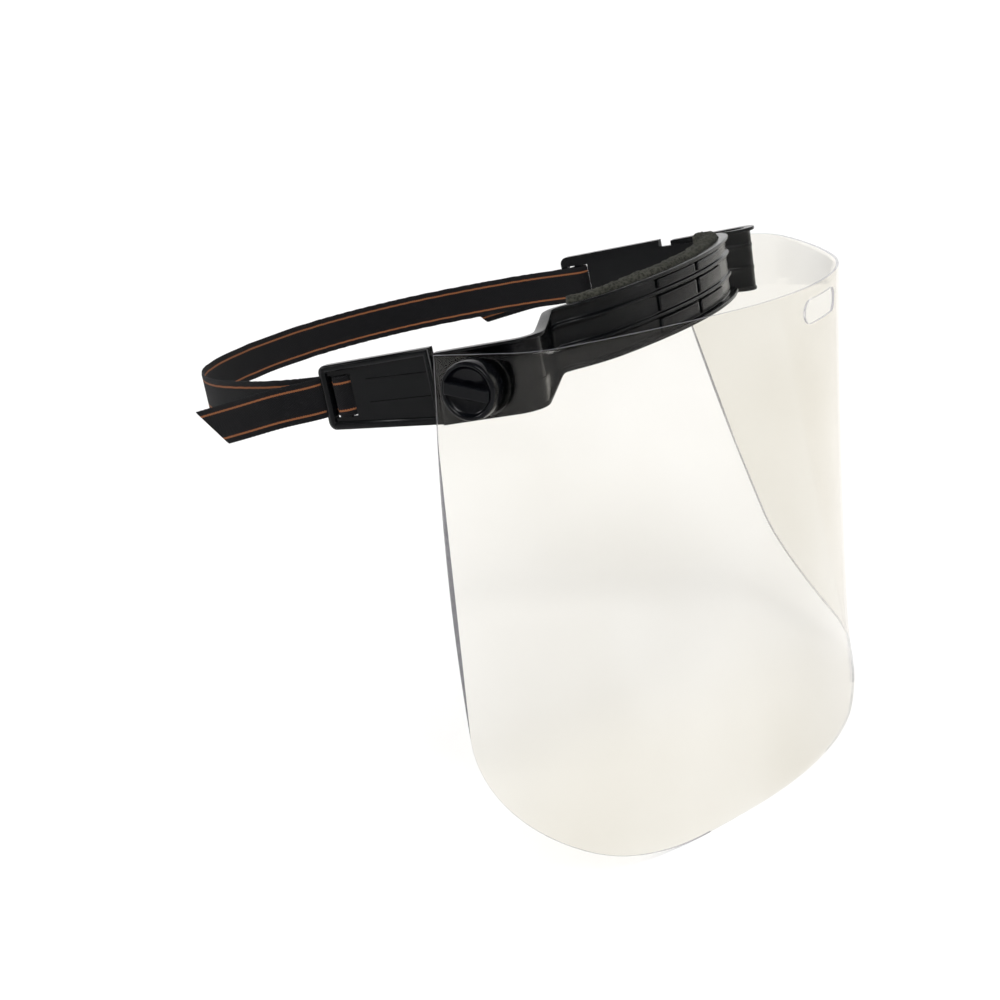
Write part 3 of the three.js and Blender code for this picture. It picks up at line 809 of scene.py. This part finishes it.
def arm_outline(inset):
    """The framed part of the arm as (along, height), drawn a little inside its edge."""
    corner = ARM_CORNER - inset
    along = ARM_LENGTH - ARM_CORNER
    up = ARM_REAR_HALF - ARM_CORNER
    shoulder = ARM_SHOULDER["along"] + inset, ARM_SHOULDER["half"] - inset
    outline = [shoulder, (shoulder[0], -shoulder[1])]
    steps = 8
    for centre, start in ((-up, -math.pi / 2), (up, 0)):
        for step in range(steps + 1):
            angle = start + math.pi / 2 * step / steps
            outline.append((along + corner * math.cos(angle), centre + corner * math.sin(angle)))
    return outline


def build_arm_trim(side, suffix):
    """The crowned border of an arm and the teeth of its buckle bar."""
    base = ARM_OUTER + TRIM_FOOT
    crest = ARM_OUTER + ARM_RAISED + TRIM_CROWN
    shoulder = crest - 0.2
    rings = []
    for outer, inner in zip(arm_outline(TRIM_INSET), arm_outline(ARM_BORDER - TRIM_INSET)):
        middle = ((outer[0] + inner[0]) / 2, (outer[1] + inner[1]) / 2)
        ring = [(base, outer), (shoulder, outer), (crest, middle), (shoulder, inner), (base, inner)]
        rings.append([drooped((side * out, along, up)) for out, (along, up) in ring])
    pieces = [loft("arm_border", rings, loop=True)]
    across = (ARM_OUTER - TOOTH_SINK, ARM_OUTER + TOOTH_RISE)
    along = (BUCKLE_BAR + TOOTH_MARGIN, BUCKLE_REAR - TOOTH_MARGIN)
    for tooth in range(BAR_TEETH):
        height = lerp(-TOOTH_REACH, TOOTH_REACH, tooth / (BAR_TEETH - 1))
        heights = (height - TOOTH_HALF, height + TOOTH_HALF)
        block = side_box("tooth", side, across, along, heights, TOOTH_BEVEL)
        block.data.transform(about_pivot(-HARNESS_DROOP))
        pieces.append(block)
    trim = joined(pieces, f"arm_trim_{suffix}")
    dress(trim, BAND_PLASTIC, "harness", "band_plastic")


# --- Strap ----------------------------------------------------------------------------------------


def strap_half_path():
    """From a tail's tip through the buckle and round its bar to the back of the head."""
    outside = ARM_OUTER + CLEARANCE + STRAP_THICKNESS
    middle = (ARM_INNER + ARM_OUTER) / 2
    returned = ARM_INNER - CLEARANCE - STRAP_THICKNESS / 2 - 0.1
    standing = returned - STRAP_THICKNESS - 0.6
    front_gap = (BUCKLE_FRONT + BUCKLE_BAR) / 2 - 0.3
    rear_gap = (BUCKLE_REAR + BUCKLE_END) / 2
    return [
        (outside + 1, ARM_LENGTH + TAIL_LENGTH, -TAIL_DROP),
        (outside + 2.4, ARM_LENGTH + TAIL_LENGTH * 0.7, -TAIL_DROP * 0.62),
        (outside + 1.6, ARM_LENGTH + TAIL_LENGTH * 0.38, -TAIL_DROP * 0.24),
        (middle, ARM_LENGTH + 6, -0.6),
        (returned, ARM_LENGTH, 0),
        (returned, rear_gap + 2, 0),
        (middle, rear_gap - 0.4, 0),
        (outside, BUCKLE_BAR + 3.3, 0),
        (outside, BUCKLE_BAR + 0.3, 0),
        (middle, front_gap, 0),
        (standing + 0.5, front_gap + 1.4, 0),
        (standing, BUCKLE_BAR + 3, 0),
        (standing, ARM_LENGTH, 0),
        (standing, ARM_LENGTH + 12, 0),
        (standing - 4, ARM_LENGTH + 32, 0),
        (standing - 22, STRAP_REAR - 34, 0),
        (standing - 52, STRAP_REAR - 9, 0),
        (0, STRAP_REAR, 0),
    ]


def through_points(points, steps):
    """A smooth curve through points (centripetal Catmull-Rom), with its places evenly shared out."""
    first = points[0] * 2 - points[1]
    last = points[-1] * 2 - points[-2]
    padded = [first, *points, last]
    curve = []
    for a, b, c, d in zip(padded, padded[1:], padded[2:], padded[3:]):
        knots = [0.0]
        for start, end in ((a, b), (b, c), (c, d)):
            knots.append(knots[-1] + max(1e-4, math.sqrt((end - start).length)))
        k0, k1, k2, k3 = knots
        for step in range(steps):
            t = lerp(k1, k2, step / steps)
            ab = a.lerp(b, (t - k0) / (k1 - k0))
            bc = b.lerp(c, (t - k1) / (k2 - k1))
            cd = c.lerp(d, (t - k2) / (k3 - k2))
            abc = ab.lerp(bc, (t - k0) / (k2 - k0))
            bcd = bc.lerp(cd, (t - k1) / (k3 - k1))
            curve.append(abc.lerp(bcd, (t - k1) / (k2 - k1)))
    return [*curve, points[-1]]


def strap_section(along):
    """The ribbon's cross-section as (thickness, width, V) with a softly scalloped selvage."""
    wave = SELVAGE["wave"] * math.sin(2 * math.pi * along / SELVAGE["pitch"])
    half_width = STRAP_WIDTH / 2 - SELVAGE["inset"] + wave
    half_thick = STRAP_THICKNESS / 2
    across = STRAP_FACE_STEPS
    section = []
    for face in (-1, 1):
        for step in range(across + 1):
            share = face * (1 - 2 * step / across)
            edge = max(0, abs(share) - SELVAGE["start"]) / (1 - SELVAGE["start"])
            thick = half_thick * (1 - SELVAGE["thinning"] * edge * edge)
            section.append((face * thick, -share * half_width, 0.5 - share / 2))
    return section


def build_strap():
    half = [Vector(point) for point in strap_half_path()]
    other = [Vector((-point.x, point.y, point.z)) for point in reversed(half[:-1])]
    curve = through_points([*half, *other], STRAP_STEPS)
    lengths = [0]
    for before, after in zip(curve, curve[1:]):
        lengths.append(lengths[-1] + (after - before).length)
    rings, uvs = [], []
    for index, centre in enumerate(curve):
        before = curve[max(0, index - 1)]
        after = curve[min(len(curve) - 1, index + 1)]
        tangent = (after - before).normalized()
        thin = tangent.cross(UP).normalized()
        wide = thin.cross(tangent)
        along = lengths[index]
        from_tip = min(along, lengths[-1] - along)
        outward = -tangent if along < lengths[-1] / 2 else tangent
        cut = outward * TAIL_CUT * max(0, 1 - from_tip / (3 * TAIL_CUT))
        ring, ring_uv = [], []
        for thickness, width, v in strap_section(along):
            slant = cut * (2 * width / STRAP_WIDTH)
            ring.append(drooped(centre + thin * thickness + wide * width + slant))
            ring_uv.append((along, v))
        rings.append(ring)
        uvs.append(ring_uv)
    strap = loft("woven_strap", rings, uvs)
    dress(strap, WEBBING, "harness", "webbing", "rear_strap")


# --- Studio ---------------------------------------------------------------------------------------


def build_studio():
    """A pale floor that sweeps up into a backdrop all round, far from the object."""
    radius, sweep, height = 2.2, 0.8, 3.0
    profile = [(0.0, 0.0), (radius, 0.0)]
    steps = 12
    for step in range(1, steps + 1):
        angle = math.pi / 2 * step / steps
        profile.append((radius + sweep * math.sin(angle), sweep * (1 - math.cos(angle))))
    profile.append((radius + sweep, height))
    segments = 64
    points, faces = [], []
    for r, z in profile:
        for segment in range(segments):
            angle = 2 * math.pi * segment / segments
            points.append((r * math.cos(angle), r * math.sin(angle), z))
    for level in range(len(profile) - 1):
        for segment in range(segments):
            after = (segment + 1) % segments
            a, b = level * segments + segment, level * segments + after
            faces.append((a, b, b + segments, a + segments))
    mesh = bpy.data.meshes.new("studio_floor")
    mesh.from_pydata(points, [], faces)
    mesh.shade_smooth()
    mesh.materials.append(studio_surface())
    floor = bpy.data.objects.new("studio_floor", mesh)
    bpy.context.scene.collection.objects.link(floor)
    floor.visible_shadow = False


def add_softbox(name, place, size, power, warmth=1.0):
    light = bpy.data.lights.new(name, "AREA")
    light.shape = "RECTANGLE"
    light.size, light.size_y = size
    light.energy = power
    light.color = (1, lerp(0.92, 1, warmth), lerp(0.84, 1, warmth))
    box = bpy.data.objects.new(name, light)
    box.location = place
    aim = Vector((0, -0.03, 0.12)) - Vector(place)
    box.rotation_euler = aim.to_track_quat("-Z", "Y").to_euler()
    bpy.context.scene.collection.objects.link(box)


def light_scene():
    world = bpy.data.worlds.new("studio_world")
    world.use_nodes = True
    background = world.node_tree.nodes["Background"]
    background.inputs["Color"].default_value = (1, 1, 1, 1)
    background.inputs["Strength"].default_value = 0.2
    bpy.context.scene.world = world
    bpy.context.scene.view_settings.view_transform = "Standard"
    add_softbox("key", (-1.1, -0.9, 1.5), (0.3, 1.2), 12)
    add_softbox("fill", (1.4, -1.0, 0.9), (0.7, 1.3), 4, 0.5)
    add_softbox("rim", (-0.5, 1.5, 1.1), (1.2, 0.25), 10)


def add_overhead_sun():
    """A broad, very soft light that whitens floor and backdrop alike."""
    light = bpy.data.lights.new("daylight", "SUN")
    light.energy = 2.1
    light.angle = math.radians(40)
    sun = bpy.data.objects.new("daylight", light)
    sun.rotation_euler = Vector((0.6, 0.35, -0.72)).to_track_quat("-Z", "Y").to_euler()
    bpy.context.scene.collection.objects.link(sun)


def add_camera():
    ce, se = math.cos(CAMERA_ELEVATION), math.sin(CAMERA_ELEVATION)
    ca, sa = math.cos(CAMERA_AZIMUTH), math.sin(CAMERA_AZIMUTH)
    back = Vector((sa * ce, -ca * ce, se))
    level_right = Vector((ca, sa, 0))
    level_up = back.cross(level_right)
    right = level_right * math.cos(CAMERA_ROLL) + level_up * math.sin(CAMERA_ROLL)
    up = level_up * math.cos(CAMERA_ROLL) - level_right * math.sin(CAMERA_ROLL)
    data = bpy.data.cameras.new("photo_camera")
    data.sensor_width = 36
    data.lens = CAMERA_LENS
    camera = bpy.data.objects.new("photo_camera", data)
    axes = Matrix((right, up, back)).transposed().to_4x4()
    place = placed(CAMERA_TARGET + back * CAMERA_DISTANCE)
    camera.matrix_world = Matrix.Translation(place) @ axes
    bpy.context.scene.collection.objects.link(camera)
    bpy.context.scene.camera = camera


build_visor()
build_band()
build_front_panels()
build_foam()
for side, suffix in ((-1, "right"), (1, "left")):
    build_knob(side, f"knob_{suffix}")
    build_spacer(side, suffix)
    build_arm_trim(side, suffix)
dress_hardware()
build_strap()
build_studio()
light_scene()
add_overhead_sun()
add_camera()
